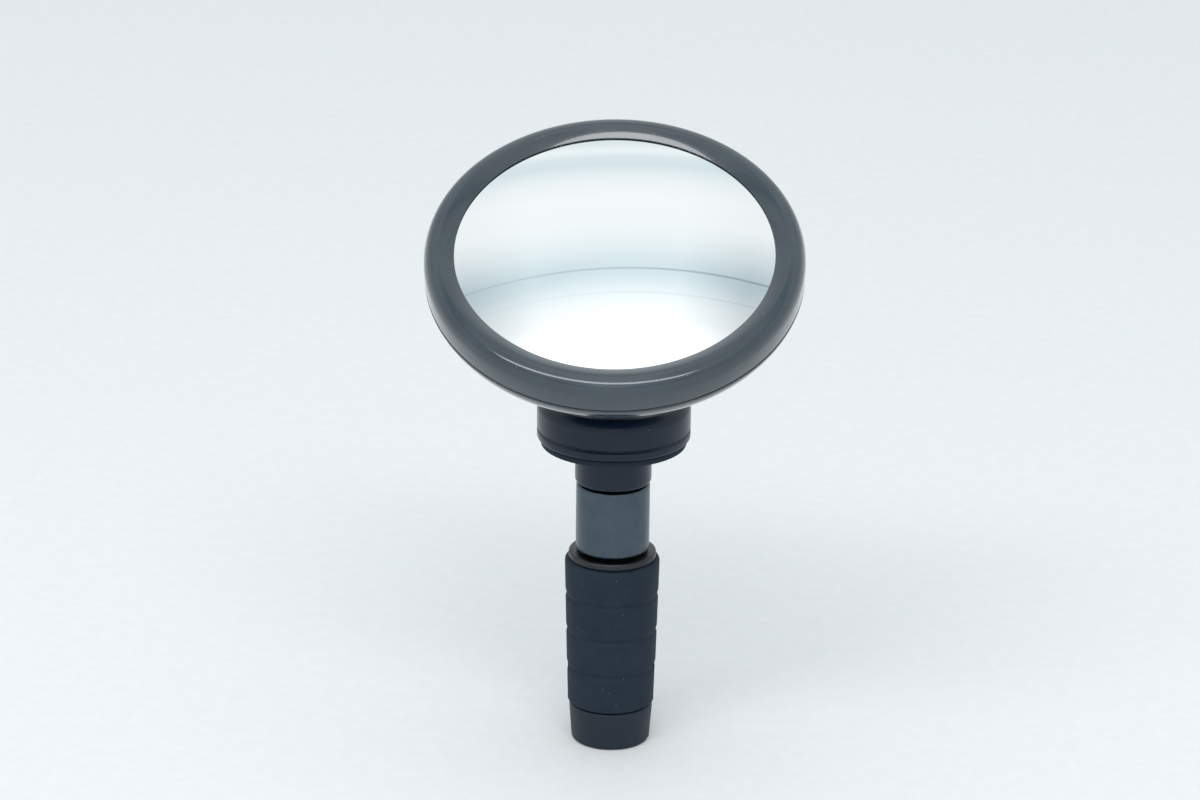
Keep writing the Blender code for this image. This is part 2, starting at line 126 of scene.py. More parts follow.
FLOOR_R = 2.4
FLOOR_PLAIN_R = 0.5  # the floor fades from here out to its edge
FLOOR_DARK = (0.73, 0.75, 0.76, 1)
FLOOR_PALE = (0.76, 0.78, 0.79, 1)
BACKDROP = (0.84, 0.90, 0.92, 1)
STUDIO_AXIS = (0.042, -0.637, 0.770)
STUDIO_RINGS = (  # the cosine of the angle to the axis, how bright green is, and how far red is below it
    (0.000, 0.88, 0.04),
    (0.304, 0.84, 0.08),
    (0.320, 0.95, 0.06),
    (0.328, 0.93, 0.07),
    (0.342, 0.83, 0.10),
    (0.363, 0.81, 0.11),
    (0.391, 0.91, 0.07),
    (0.417, 0.96, 0.03),
    (0.447, 0.99, 0.02),
    (0.508, 0.99, 0.03),
    (0.537, 0.96, 0.05),
    (0.570, 0.90, 0.09),
    (0.595, 0.83, 0.13),
    (0.610, 0.79, 0.16),
    (0.620, 0.81, 0.15),
    (0.634, 0.84, 0.13),
    (0.649, 0.90, 0.10),
    (0.676, 0.97, 0.05),
    (0.702, 1.03, 0.03),
    (0.756, 1.40, 0.01),
)
BLUE_SHARE = 0.3  # how far blue rises above green, as a share of red's fall
SEAMS = ((0.6088, 0.0028, 0.50), (0.655, 0.0022, 0.16))  # each seam's ring, half its width, and its depth
SEAM_FADE = (-0.18, 0.14)  # the X of a direction where a seam is faintest, and where it is full
SEAM_FAINTEST = 0.3
SEAM_COLOUR = (0.02, 0.05, 0.08, 1)
DUSK_MIDDLE = 0.033  # how far to the left the rings are palest
DUSK_ASIDE = (0.11, 0.21)  # how far to either side of that the dusk begins, and where it is full
DUSK_RINGS = (0.50, 0.62)  # the rings between which it deepens, and its two depths
DUSK_DEPTHS = (0.06, 0.30)
DUSK_COLOUR = (0.0, 0.04, 0.08, 1)
GLOW_AXIS = (0.023, 0.064, 0.998)
GLOW_REACH = (0.982, 0.999)
GLOW_COLOUR = (0.12, 0.12, 0.12, 1)
BLACK = (0, 0, 0, 1)
KEY_PLACE = (-0.10, -0.62, 0.80)
KEY_SIZE = (1.20, 0.20)
KEY_ENERGY = 5.0
CAMERA_LENS = 120  # mm
SENSOR_WIDTH = 36
CAMERA_AZIMUTH = math.radians(1.5)
CAMERA_ELEVATION = math.radians(19.9)
CAMERA_DISTANCE = 0.6226
CAMERA_AIM = (-0.0022, 0, -0.0120)  # from the ball's centre
CAMERA_ROLL = math.radians(0.6)

JOINTS = {joint["name"]: joint for joint in frame["joints"]}
MOUNTS = {mount["name"]: mount for mount in frame["record"]["mounts"]}
BALL_CENTRE = Vector(JOINTS["ball_lean"]["pos_m"])
FACING = Vector(JOINTS["ball_spin"]["axis"])
SEAT_HEIGHT = MOUNTS["bar_end_seat"]["pos_m"][2]
PLUG = Matrix.Translation((0, 0, SEAT_HEIGHT))
LEAN = Vector((0, 0, 1)).rotation_difference(FACING).to_matrix().to_4x4()
HEAD = Matrix.Translation(BALL_CENTRE) @ LEAN

Extent = namedtuple("Extent", "inner outer low high")


# ---------------------------------------------------------------- sizes from the frame


def local_points(node, place):
    into = place.inverted()
    return [into @ vertex.co for vertex in frame["nodes"][node].data.vertices]


def extent(node, place):
    """A CAD node's least and greatest radius about the place's Z, and its lowest and highest height."""
    points = local_points(node, place)
    radii = [math.hypot(p.x, p.y) for p in points]
    heights = [p.z for p in points]
    return Extent(min(radii), max(radii), min(heights), max(heights))


def foot_radius(node, place):
    """A CAD node's greatest radius at its lower end."""
    points = local_points(node, place)
    low = min(p.z for p in points)
    return max(math.hypot(p.x, p.y) for p in points if p.z < low + 0.1 * MM)


def middle_thickness(node, place):
    """A dished plate's thickness on its axis."""
    heights = [p.z for p in local_points(node, place) if math.hypot(p.x, p.y) < ON_AXIS]
    return max(heights) - min(heights)


def axis_of(node, place):
    """The place moved sideways to the node's own axis."""
    points = local_points(node, place)
    across = sum(p.x for p in points) / len(points)
    along = sum(p.y for p in points) / len(points)
    return place @ Matrix.Translation((across, along, 0))


# ---------------------------------------------------------------- mesh tools


def rounded(corners, fillet=ROUND, closed=True):
    """An outline with rounded corners. A corner's third value, if it has one, is its own fillet."""
    points = []
    for k, corner in enumerate(corners):
        here = Vector(corner[:2])
        if not closed and k in (0, len(corners) - 1):
            points.append(here)
            continue
        back = Vector(corners[k - 1][:2]) - here
        ahead = Vector(corners[(k + 1) % len(corners)][:2]) - here
        wanted = corner[2] if len(corner) > 2 else fillet
        reach = min(wanted, FILLET_SHARE * back.length, FILLET_SHARE * ahead.length)
        if reach < TINY:
            points.append(here)
            continue
        start = here + back.normalized() * reach
        end = here + ahead.normalized() * reach
        for step in range(FILLET_STEPS + 1):
            share = step / FILLET_STEPS
            points.append(start.lerp(here, share).lerp(here.lerp(end, share), share))
    return points


def ring_section(size):
    """The four corners of a plain ring's section."""
    return [(size.inner, size.high), (size.outer, size.high), (size.outer, size.low), (size.inner, size.low)]


def arc(middle, radius, start, end, count):
    """Sharp outline points on a circle, from one angle to another in degrees."""
    points = []
    for k in range(count):
        angle = math.radians(start + (end - start) * k / (count - 1))
        points.append((middle[0] + radius * math.cos(angle), middle[1] + radius * math.sin(angle), 0))
    return points


def wall(radius, start, end, step):
    """Closely spaced sharp points on a straight wall, for a thread or flutes to be cut in."""
    count = max(2, round(abs(end - start) / step))
    return [(radius, start + (end - start) * k / count, 0) for k in range(count + 1)]


def tidy_mesh(obj):
    work = bmesh.new()
    work.from_mesh(obj.data)
    bmesh.ops.remove_doubles(work, verts=work.verts, dist=TINY)
    bmesh.ops.recalc_face_normals(work, faces=work.faces)
    work.to_mesh(obj.data)
    work.free()
    obj.data.shade_smooth()
    obj.data.set_sharp_from_angle(angle=SHARP_ANGLE)


def new_object(name, work, place):
    mesh = bpy.data.meshes.new(name)
    work.to_mesh(mesh)
    work.free()
    obj = bpy.data.objects.new(name, mesh)
    bpy.context.scene.collection.objects.link(obj)
    obj.matrix_world = place
    return obj


def spin(name, outline, place, segments=SMALL_SEGMENTS):
    """A solid of revolution about the place's Z. An outline that leaves the axis is closed on itself."""
    work = bmesh.new()
    corners = [work.verts.new((point[0], 0, point[1])) for point in outline]
    edges = [work.edges.new(pair) for pair in zip(corners, corners[1:])]
    if min(point[0] for point in outline) > TINY:
        edges.append(work.edges.new((corners[-1], corners[0])))
    geometry = corners + edges
    bmesh.ops.spin(work, geom=geometry, axis=(0, 0, 1), angle=TURN, steps=segments, use_merge=True)
    obj = new_object(name, work, place)
    tidy_mesh(obj)
    return obj


def block(name, size, place):
    """A box, to be cut out of a piece or joined on to it."""
    work = bmesh.new()
    bmesh.ops.create_cube(work, size=1.0, matrix=Matrix.Diagonal((*size, 1.0)))
    return new_object(name, work, place)


def combine(obj, tool, operation="DIFFERENCE"):
    """Cuts the tool out of the piece, or joins it on, and removes the tool."""
    modifier = obj.modifiers.new("Combine", "BOOLEAN")
    modifier.object = tool
    modifier.operation = operation
    modifier.solver = "EXACT"
    bpy.context.view_layer.update()
    graph = bpy.context.evaluated_depsgraph_get()
    obj.data = bpy.data.meshes.new_from_object(obj.evaluated_get(graph))
    obj.modifiers.clear()
    bpy.data.objects.remove(tool)
    tidy_mesh(obj)


def reshape(obj, rule):
    """Moves each point out or in to the radius that the rule gives for its angle, radius and height."""
    for vertex in obj.data.vertices:
        radius = math.hypot(vertex.co.x, vertex.co.y)
        if radius > TINY:
            angle = math.atan2(vertex.co.y, vertex.co.x)
            scale = rule(angle, radius, vertex.co.z) / radius
            vertex.co.x *= scale
            vertex.co.y *= scale
    obj.data.update()


def thread(obj, at_radius, pitch, depth, low, high):
    """Cuts a right-handed thread into the points of one wall. A negative depth cuts outwards, into a bore."""
    steepness = 1.5
    crest = 0.25

    def rule(angle, radius, height):
        fade = min(1.0, (height - low) / pitch, (high - height) / pitch)
        if fade <= 0 or abs(radius - at_radius) > ON_WALL:
            return radius
        phase = (height / pitch - angle / TURN) % 1.0
        groove = min(1.0, max(0.0, abs(2 * phase - 1) * steepness - crest))
        return radius - depth * fade * groove

    reshape(obj, rule)


def hexagon(obj, across_flats, low, high, within=math.inf):
    """Trims the points between two heights, and within a radius, to a hexagon whose flats face along X."""

    def rule(angle, radius, height):
        if not low <= height <= high or radius > within:
            return radius
        off_flat = (angle + TURN / 12) % (TURN / 6) - TURN / 12
        return min(radius, across_flats / 2 / math.cos(off_flat))

    reshape(obj, rule)


def chamfered(across_flats, face, toward, count=6):
    """The conical chamfer of a hexagon's corners, from its face outwards, as sharp outline points."""
    inner = 0.97 * across_flats / 2
    corner = across_flats / 2 / math.cos(TURN / 12)
    points = []
    for k in range(count):
        radius = inner + (corner - inner) * k / (count - 1)
        points.append((radius, face + toward * (radius - inner) * math.tan(TURN / 12), 0))
    return points


def flats_of(size):
    """The width across flats of a hexagon whose corners are at this extent's outer radius."""
    return 2 * size.outer * math.cos(TURN / 12)


def stand_for(obj, node, material):
    """The piece is given its material and takes the CAD node's place on its body; the CAD node is hidden."""
    obj.data.materials.clear()
    obj.data.materials.append(material)
    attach(obj, frame["nodes"][node]["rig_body"])
    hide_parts(node)


# ---------------------------------------------------------------- materials


def set_inputs(tree, node, inputs):
    """Sets a shader node's inputs to values, or links them to other nodes' outputs."""
    for key, value in inputs.items():
        if isinstance(value, bpy.types.NodeSocket):
            tree.links.new(value, node.inputs[key])
        else:
            node.inputs[key].default_value = value


def add(tree, kind, inputs=None, **settings):
    made = tree.nodes.new("ShaderNode" + kind)
    for key, value in settings.items():
        setattr(made, key, value)
    set_inputs(tree, made, inputs or {})
    return made


def noise(tree, where, size, detail=3.0, roughness=0.55):
    inputs = {"Vector": where, "Scale": 1 / size, "Detail": detail, "Roughness": roughness}
    return add(tree, "TexNoise", inputs).outputs["Fac"]


def ranged(tree, value, start, end, low=0.0, high=1.0):
    inputs = {"Value": value, "From Min": start, "From Max": end, "To Min": low, "To Max": high}
    return add(tree, "MapRange", inputs).outputs["Result"]


def spread(tree, value, low=0.0, high=1.0):
    """Noise stretched from the middle range that it mostly keeps to."""
    return ranged(tree, value, 0.3, 0.7, low, high)


def math_node(tree, operation, first, second=0.0):
    made = add(tree, "Math", {0: first, 1: second}, operation=operation)
    return made.outputs["Value"]


def mixed(tree, share, first, second):
    made = add(tree, "MixRGB", {"Fac": share, "Color1": first, "Color2": second})
    return made.outputs["Color"]


def bumped(tree, height, distance, strength):
    return add(tree, "Bump", {"Height": height, "Distance": distance, "Strength": strength}).outputs["Normal"]


def dotted(tree, first, second):
    """The dot product of two vectors."""
    made = add(tree, "VectorMath", {0: first, 1: second}, operation="DOT_PRODUCT")
    return made.outputs["Value"]


def opaque(colour):
    return (*colour, 1.0)


def start_material(name):
    """A material's tree, its Principled shader and its object coordinates, in metres."""
    material = bpy.data.materials.new(name)
    material.use_nodes = True
    tree = material.node_tree
    shader = tree.nodes["Principled BSDF"]
    where = add(tree, "TexCoord").outputs["Object"]
    return material, tree, shader, where


def specks(tree, where, spacing, size):
    """1 on small scattered dots, and 0 elsewhere."""
    dots = add(tree, "TexVoronoi", {"Vector": where, "Scale": 1 / spacing, "Randomness": 1.0})
    near = ranged(tree, dots.outputs["Distance"], size / spacing, 0.5 * size / spacing)
    chosen = add(tree, "SeparateColor", {"Color": dots.outputs["Color"]}).outputs["Red"]
    few = ranged(tree, chosen, 0.72, 0.75)
    return math_node(tree, "MULTIPLY", near, few)


def edge_mask(tree, where, reach, breakup):
    """1 on edges sharper than the reach, broken up by noise."""
    soft = add(tree, "Bevel", {"Radius": reach}, samples=6).outputs["Normal"]
    flat = add(tree, "NewGeometry").outputs["Normal"]
    sharp = ranged(tree, dotted(tree, soft, flat), 0.985, 0.90)
    patchy = ranged(tree, noise(tree, where, breakup), 0.40, 0.62)
    return math_node(tree, "MULTIPLY", sharp, patchy)


def plastic(name, colour, worn, roughness, grain, height, coat=0.0):
    """Moulded plastic: mottled gloss, a surface grain, light edges and a little dust."""
    material, tree, shader, where = start_material(name)
    broad = noise(tree, where, size=9 * MM, detail=4.0)
    fine = noise(tree, where, size=grain, detail=2.0)
    paler = [1.35 * c for c in colour]
    edges = edge_mask(tree, where, reach=0.22 * MM, breakup=1.2 * MM)
    dust = math_node(tree, "MULTIPLY", specks(tree, where, spacing=1.9 * MM, size=0.10 * MM), 0.5)
    shade = mixed(tree, spread(tree, broad), opaque(colour), opaque(paler))
    shade = mixed(tree, edges, shade, opaque(worn))
    shade = mixed(tree, dust, shade, PLASTIC_DUST)
    gloss = spread(tree, broad, low=0.85 * roughness, high=1.25 * roughness)
    gloss = math_node(tree, "ADD", gloss, math_node(tree, "MULTIPLY", dust, 0.4))
    bump = bumped(tree, fine, distance=height, strength=1.0)
    set_inputs(tree, shader, {"Base Color": shade, "Roughness": gloss, "Normal": bump})
    set_inputs(tree, shader, {"Specular IOR Level": 0.30, "Coat Weight": coat, "Coat Roughness": 0.06})
    return material


def rubber():
    """Moulded rubber: fine grain, a grey bloom in patches, and dust that clings."""
    material, tree, shader, where = start_material("rubber")
    broad = noise(tree, where, size=4 * MM, detail=5.0, roughness=0.6)
    fine = noise(tree, where, size=0.16 * MM, detail=3.0, roughness=0.7)
    bloom = ranged(tree, broad, 0.35, 0.75)
    edges = edge_mask(tree, where, reach=0.25 * MM, breakup=0.8 * MM)
    dust = math_node(tree, "MULTIPLY", specks(tree, where, spacing=1.1 * MM, size=0.11 * MM), 0.3)
    shade = mixed(tree, bloom, RUBBER_BLACK, RUBBER_BLOOM)
    shade = mixed(tree, edges, shade, RUBBER_EDGE)
    shade = mixed(tree, dust, shade, RUBBER_DUST)
    gloss = spread(tree, broad, low=0.62, high=0.82)
    bump = bumped(tree, fine, distance=0.03 * MM, strength=0.9)
    set_inputs(tree, shader, {"Base Color": shade, "Roughness": gloss, "Normal": bump})
    set_inputs(tree, shader, {"Specular IOR Level": 0.25})
    return material


def turned_metal(name, colour, tint, roughness, line_pitch, line_height):
    """Plated or bare metal with the fine rings of a lathe, a faint second tint, and bright edges."""
    material, tree, shader, where = start_material(name)
    height = add(tree, "SeparateXYZ", {"Vector": where}).outputs["Z"]
    rings = add(tree, "CombineXYZ", {"Z": height}).outputs["Vector"]
    lines = noise(tree, rings, size=line_pitch, detail=6.0, roughness=0.75)
    broad = noise(tree, where, size=3.5 * MM, detail=4.0)
    blotches = noise(tree, where, size=0.8 * MM, detail=5.0, roughness=0.7)
    bright = [min(1.0, 1.25 * c) for c in colour]
    edges = edge_mask(tree, where, reach=0.20 * MM, breakup=0.9 * MM)
    shade = mixed(tree, ranged(tree, broad, 0.35, 0.68), opaque(colour), opaque(tint))
    shade = mixed(tree, edges, shade, opaque(bright))
    gloss = spread(tree, blotches, low=0.75 * roughness, high=1.35 * roughness)
    bump = bumped(tree, lines, distance=line_height, strength=0.8)
    set_inputs(tree, shader, {"Base Color": shade, "Roughness": gloss, "Normal": bump})
    set_inputs(tree, shader, {"Metallic": 1.0})
    return material


def silvered_glass():
    """The mirror: a clean reflection from its face, faintly smudged, and green glass at its edge."""
    material, tree, shader, where = start_material("mirror")
    normal = add(tree, "TexCoord").outputs["Normal"]
    facing = add(tree, "SeparateXYZ", {"Vector": normal}).outputs["Z"]
    on_face = ranged(tree, facing, 0.90, 0.95)
    patches = noise(tree, where, size=11 * MM, detail=6.0, roughness=0.62)
    smudge = ranged(tree, patches, 0.52, 0.72, low=0.004, high=0.034)
    dust = specks(tree, where, spacing=2.6 * MM, size=0.07 * MM)
    gloss = math_node(tree, "ADD", smudge, math_node(tree, "MULTIPLY", dust, 0.25))
    silver = mixed(tree, dust, SILVER, SILVER_DUST)
    shade = mixed(tree, on_face, GLASS_EDGE, silver)
    set_inputs(tree, shader, {"Base Color": shade, "Metallic": on_face, "Roughness": gloss})
    return material


def foam():
    """Closed-cell foam tape: small round cells in off-white, with painted shade darkening each cell's pit."""
    material, tree, shader, where = start_material("foam")
    cell_size = 0.35 * MM
    cells = add(tree, "TexVoronoi", {"Vector": where, "Scale": 1 / cell_size}).outputs["Distance"]
    # painted shade: darker at each cell's middle, where the bump makes a pit, and lighter on the walls
    # between
    shade = mixed(tree, ranged(tree, cells, 0.1, 0.6), FOAM_PIT_SHADE, FOAM_WALL)
    bump = bumped(tree, cells, distance=0.08 * MM, strength=1.0)
    set_inputs(tree, shader, {"Base Color": shade, "Roughness": 0.95, "Normal": bump})
    return material


# ---------------------------------------------------------------- the plug


def build_gasket():
    size = extent("bar_end_gasket", PLUG)
    ring = spin("gasket_moulded", rounded(ring_section(size), SOFT), PLUG, LARGE_SEGMENTS)
    stand_for(ring, "bar_end_gasket", RUBBER)


def build_cap():
    """The cap, crowned and grooved, with a recess for the stud's hexagon and a spigot for the bar."""
    size = extent("end_cap", PLUG)
    gasket = extent("bar_end_gasket", PLUG)
    washer = extent("spring_washer", PLUG)
    underside = gasket.high + GAP
    floor = washer.low - GAP
    spigot = gasket.inner - LOOSE
    recess = 6.8 * MM
    crown = 1.8 * MM
    groove = underside + 1.5 * MM
    depth = 0.3 * MM
    outline = [(size.inner, floor), (recess, floor), (recess, size.high, 0.5 * MM)]
    outline += arc((size.outer - crown, size.high - crown), crown, 90, 0, count=12)
    outline += [(size.outer, groove + depth, CREASE), (size.outer - depth, groove, CREASE)]
    outline += [(size.outer, groove - depth, CREASE), (size.outer, underside, BROAD)]
    outline += [(spigot, underside, CREASE), (spigot, size.low, 0.6 * MM), (size.inner, size.low)]
    cap = spin("cap_moulded", rounded(outline, SOFT), PLUG, LARGE_SEGMENTS)
    stand_for(cap, "end_cap", SATIN_BLACK)


def build_spacer():
    size = extent("spacer_tube", PLUG)
    chamfer = 0.5 * MM
    outline = [(size.inner, size.high), (size.outer, size.high, chamfer)]
    outline += [(size.outer, size.low, chamfer), (size.inner, size.low)]
    tube = spin("spacer_turned", rounded(outline, EDGE), PLUG, LARGE_SEGMENTS)
    stand_for(tube, "spacer_tube", DARK_ALUMINIUM)


def build_thrust_washer():
    """A stamped washer, rolled over at its upper edge."""
    size = extent("thrust_washer", PLUG)
    outline = [(size.inner, size.high), (size.outer, size.high, 0.35 * MM)]
    outline += [(size.outer, size.low, CREASE), (size.inner, size.low)]
    washer = spin("thrust_washer_stamped", rounded(outline, FINE), PLUG, LARGE_SEGMENTS)
    stand_for(washer, "thrust_washer", BLACK_STEEL)


def sleeve_outline(size, foot, mouth, mouth_top):
    """The sleeve's section: tapered to its foot, softly grooved, and widened inside at its mouth."""
    grooves = 3
    depth = 0.35 * MM
    half = 0.6 * MM
    pitch = (size.high - size.low) / (grooves + 1)

    def outer(height):
        return foot + (size.outer - foot) * (height - size.low) / (size.high - size.low)

    outline = [(size.inner, size.high), (size.outer, size.high, 0.7 * MM)]
    for k in range(1, grooves + 1):
        middle = size.high - k * pitch
        outline.append((outer(middle + half), middle + half, SOFT))
        outline.append((outer(middle) - depth, middle, BROAD))
        outline.append((outer(middle - half), middle - half, SOFT))
    outline += [(foot, size.low, SOFT), (mouth, size.low, EDGE), (size.inner, mouth_top, 0.5 * MM)]
    return outline


def build_sleeve():
    """The rubber sleeve, with a slot that the wedge's fins slide in."""
    size = extent("rubber_sleeve", PLUG)
    wedge = extent("wedge_nut", PLUG)
    foot = foot_radius("rubber_sleeve", PLUG)
    mouth = 6.07 * MM
    outline = sleeve_outline(size, foot, mouth, wedge.high + 2.5 * MM)
    sleeve = spin("sleeve_moulded", rounded(outline, EDGE), PLUG, LARGE_SEGMENTS)
    slot_top = wedge.high - 0.8 * MM
    slot_low = size.low - 0.5 * MM
    slot_size = (3 * size.outer, slot_top - slot_low, 2.2 * MM)
    across = Matrix.Translation((0, 0, (slot_top + slot_low) / 2)) @ Matrix.Rotation(TURN / 4, 4, "X")
    combine(sleeve, block("slot", slot_size, PLUG @ across))
    stand_for(sleeve, "rubber_sleeve", RUBBER)
    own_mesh(sleeve)


def build_wedge():
    """The tapered nut holder, with a hexagonal pocket and two fins that key it to the sleeve's slot."""
    size = extent("wedge_nut", PLUG)
    nut = extent("insert_nut", PLUG)
    cover = extent("end_cover", PLUG)
    tip = 3.8 * MM
    cone = 5.8 * MM
    foot = 6.2 * MM
    cone_base = extent("rubber_sleeve", PLUG).low - FIT
    shoulder = cone_base - 1.0 * MM
    counterbore = cover.outer + FIT
    shelf = size.low + COVER_THICK + FIT
    pocket_top = nut.high + FIT
    pocket_flats = flats_of(nut) + 2 * FIT
    pocket_corner = pocket_flats / 2 / math.cos(TURN / 12)
    outline = [(size.inner, size.high), (tip, size.high), (cone, cone_base, EDGE)]
    outline += [(size.outer, cone_base, SOFT), (size.outer, shoulder, 0.5 * MM)]
    outline += [(foot, size.low, 0.9 * MM), (counterbore, size.low, CREASE), (counterbore, shelf, 0)]
    outline += [(pocket_corner, shelf, 0), (pocket_corner, pocket_top, 0), (size.inner, pocket_top, 0)]
    wedge = spin("wedge_moulded", rounded(outline, EDGE), PLUG, LARGE_SEGMENTS)
    hexagon(wedge, pocket_flats, shelf - ON_WALL, pocket_top + ON_WALL, within=pocket_corner + ON_WALL)
    fin_top = size.high - 2.0 * MM
    fin_low = cone_base - 0.5 * MM
    fin_size = (size.outer - 4.0 * MM, 1.6 * MM, fin_top - fin_low)
    for side in (1, -1):
        middle = Matrix.Translation((side * (tip + fin_size[0] / 2), 0, (fin_top + fin_low) / 2))
        combine(wedge, block("fin", fin_size, PLUG @ middle), "UNION")
    stand_for(wedge, "wedge_nut", MATTE_BLACK)


def build_nut():
    size = extent("insert_nut", PLUG)
    across_flats = flats_of(size)
    lead = 0.3 * MM
    outline = [(size.inner + lead, size.high, 0)] + chamfered(across_flats, size.high, -1)
    outline += chamfered(across_flats, size.low, 1)[::-1] + [(size.inner + lead, size.low, 0)]
    outline += wall(size.inner, size.low + lead, size.high - lead, BOLT_PITCH / PITCH_POINTS)
    nut = spin("nut_turned", rounded(outline), PLUG)
    hexagon(nut, across_flats, size.low, size.high)
    thread(nut, size.inner, BOLT_PITCH, -0.3 * MM, size.low, size.high)
    stand_for(nut, "insert_nut", BRASS)


def build_cover():
    """The disc that closes the wedge, with its skirt under the nut and a shallow ring on its face."""
    size = extent("end_cover", PLUG)
    top = size.low + COVER_THICK
    skirt_bore = 3.1 * MM
    skirt = 3.9 * MM
    mark = 3.7 * MM
    depth = 0.2 * MM
    outline = [(0, top), (skirt_bore, top), (skirt_bore, size.high, FINE)]
    outline += [(skirt, size.high, FINE), (skirt, top), (size.outer, top)]
    outline += [(size.outer, size.low, SOFT), (mark + depth, size.low, CREASE)]
    outline += [(mark, size.low + depth, CREASE), (mark - depth, size.low, CREASE), (0, size.low)]
    cover = spin("cover_moulded", rounded(outline, FINE, closed=False), PLUG)
    stand_for(cover, "end_cover", MATTE_BLACK)


def build_stud():
    """The turned ball stud: ball, neck, hexagon and an M5 thread."""
    size = extent("ball_stud", PLUG)
    washer = extent("spring_washer", PLUG)
    ring = extent("neck_ring", PLUG)
    ball_height = BALL_CENTRE.z - SEAT_HEIGHT
    ball = size.outer
    neck = ring.inner - GAP
    shank = washer.inner - LOOSE
    hex_low = washer.high + 0.15 * MM
    hex_high = ring.low - 0.25 * MM
    point = 0.6 * MM
    neck_angle = math.degrees(math.asin(neck / ball)) - 90
    outline = [(0, size.high)] + arc((0, ball_height), ball, 80, neck_angle, count=40)
    outline += [(neck, hex_high, 0.5 * MM)] + chamfered(HEX_FLATS, hex_high, -1)
    outline += chamfered(HEX_FLATS, hex_low, 1)[::-1] + [(shank, hex_low, FINE)]
    outline += wall(shank, THREAD_TOP, size.low + point, BOLT_PITCH / PITCH_POINTS)
    outline += [(shank - 0.5 * MM, size.low, CREASE), (0, size.low)]
    stud = spin("stud_turned", rounded(outline, EDGE, closed=False), PLUG)
    hexagon(stud, HEX_FLATS, hex_low, hex_high)
    thread(stud, shank, BOLT_PITCH, 0.4 * MM, size.low + 0.2 * MM, THREAD_TOP)
    stand_for(stud, "ball_stud", ZINC)


def build_spring_washer():
    """The lock washer, with its slanting split."""
    size = extent("spring_washer", PLUG)
    washer = spin("spring_washer_coiled", rounded(ring_section(size), FINE), PLUG)
    middle = Matrix.Translation(((size.inner + size.outer) / 2, 0, (size.high + size.low) / 2))
    slant = Matrix.Rotation(math.radians(25), 4, "X")
    split_size = (4 * MM, 0.7 * MM, 4 * MM)
    combine(washer, block("split", split_size, PLUG @ middle @ slant))
    stand_for(washer, "spring_washer", ZINC)


def build_o_ring(name, node, place):
    """A moulded O-ring, with a narrow flat round its outside where the mould parted."""
    size = extent(node, place)
    section = (size.high - size.low) / 2
    middle = ((size.inner + size.outer) / 2, (size.high + size.low) / 2)
    outline = arc(middle, section, 360, 15, count=24)
    ring = spin(name, rounded(outline), place, LARGE_SEGMENTS)
    stand_for(ring, node, RUBBER)


# ---------------------------------------------------------------- the head


def drill(obj, place, top, low):
    """Cuts one screw's hole between two heights."""
    outline = [(0, top), (SCREW_HOLE_R, top), (SCREW_HOLE_R, low), (0, low)]
    combine(obj, spin("hole", outline, place, HOLE_SEGMENTS))


def build_socket():
    """The socket: a screwed flange, a threaded barrel slit into four fingers, and the ball's seat."""
    size = extent("ball_socket", HEAD)
    collar = extent("lock_collar", HEAD)
    ring = extent("friction_ring", HEAD)
    barrel = collar.inner - 0.35 * MM
    thread_top = collar.high + 0.9 * MM
    seat = extent("ball_stud", PLUG).outer + GAP
    pocket = ring.outer + FIT
    pocket_top = ring.high + 0.25 * MM
    flange_low = size.high - 2.0 * MM
    lead = 0.5 * MM
    mouth = math.degrees(math.asin(size.low / seat))
    rim = math.degrees(math.acos(pocket / seat))
    outline = [(0, size.high), (size.outer, size.high, BROAD), (size.outer, flange_low), (barrel, flange_low)]
    outline += wall(barrel, thread_top, size.low + 0.6 * MM, COLLAR_PITCH / PITCH_POINTS)
    outline += [(barrel - lead, size.low, FINE)] + arc((0, 0), seat, mouth, rim, count=30)
    outline += [(pocket, pocket_top, SOFT), (0, pocket_top)]
    socket = spin("socket_moulded", rounded(outline, EDGE, closed=False), HEAD, LARGE_SEGMENTS)
    thread(socket, barrel, COLLAR_PITCH, 0.4 * MM, size.low + 0.3 * MM, thread_top)
    slit_top = 2.5 * MM
    slit_low = size.low - 0.5 * MM
    slit_size = (3 * barrel, slit_top - slit_low, 1.0 * MM)
    middle = Matrix.Translation((0, 0, (slit_top + slit_low) / 2))
    for share in (1, 3):
        upright = Matrix.Rotation(TURN * share / 8, 4, "Z") @ Matrix.Rotation(TURN / 4, 4, "X")
        combine(socket, block("slit", slit_size, HEAD @ middle @ upright))
    for number in SCREW_NUMBERS:
        drill(socket, axis_of(f"socket_screw_{number}", HEAD), size.high + 1 * MM, flange_low - 1 * MM)
    stand_for(socket, "ball_socket", NYLON)


def build_screw(number):
    """A self-tapping pan-head screw with a cross recess."""
    node = f"socket_screw_{number}"
    place = axis_of(node, HEAD)
    size = extent(node, place)
    shoulder = size.high - 0.7 * MM
    head_low = size.high - 1.4 * MM
    shank = 1.1 * MM
    tip = 0.3 * MM
    outline = [(0, size.high), (1.3 * MM, size.high - 0.1 * MM, BROAD)]
    outline += [(size.outer, shoulder, BROAD), (size.outer, head_low, FINE), (shank, head_low, CREASE)]
    outline += wall(shank, head_low - 0.4 * MM, size.low + 0.9 * MM, SCREW_PITCH / PITCH_POINTS)
    outline += [(tip, size.low, CREASE), (0, size.low)]
    screw = spin(f"screw_{number}", rounded(outline, EDGE, closed=False), place, SCREW_SEGMENTS)
    thread(screw, shank, SCREW_PITCH, -0.25 * MM, size.low + 0.4 * MM, head_low - 0.2 * MM)
    cross_size = (2.3 * MM, 0.5 * MM, 1.7 * MM)
    for turn in (0, TURN / 4):
        cross = Matrix.Translation((0, 0, size.high)) @ Matrix.Rotation(turn, 4, "Z")
        combine(screw, block("cross", cross_size, place @ cross))
    stand_for(screw, node, ZINC)


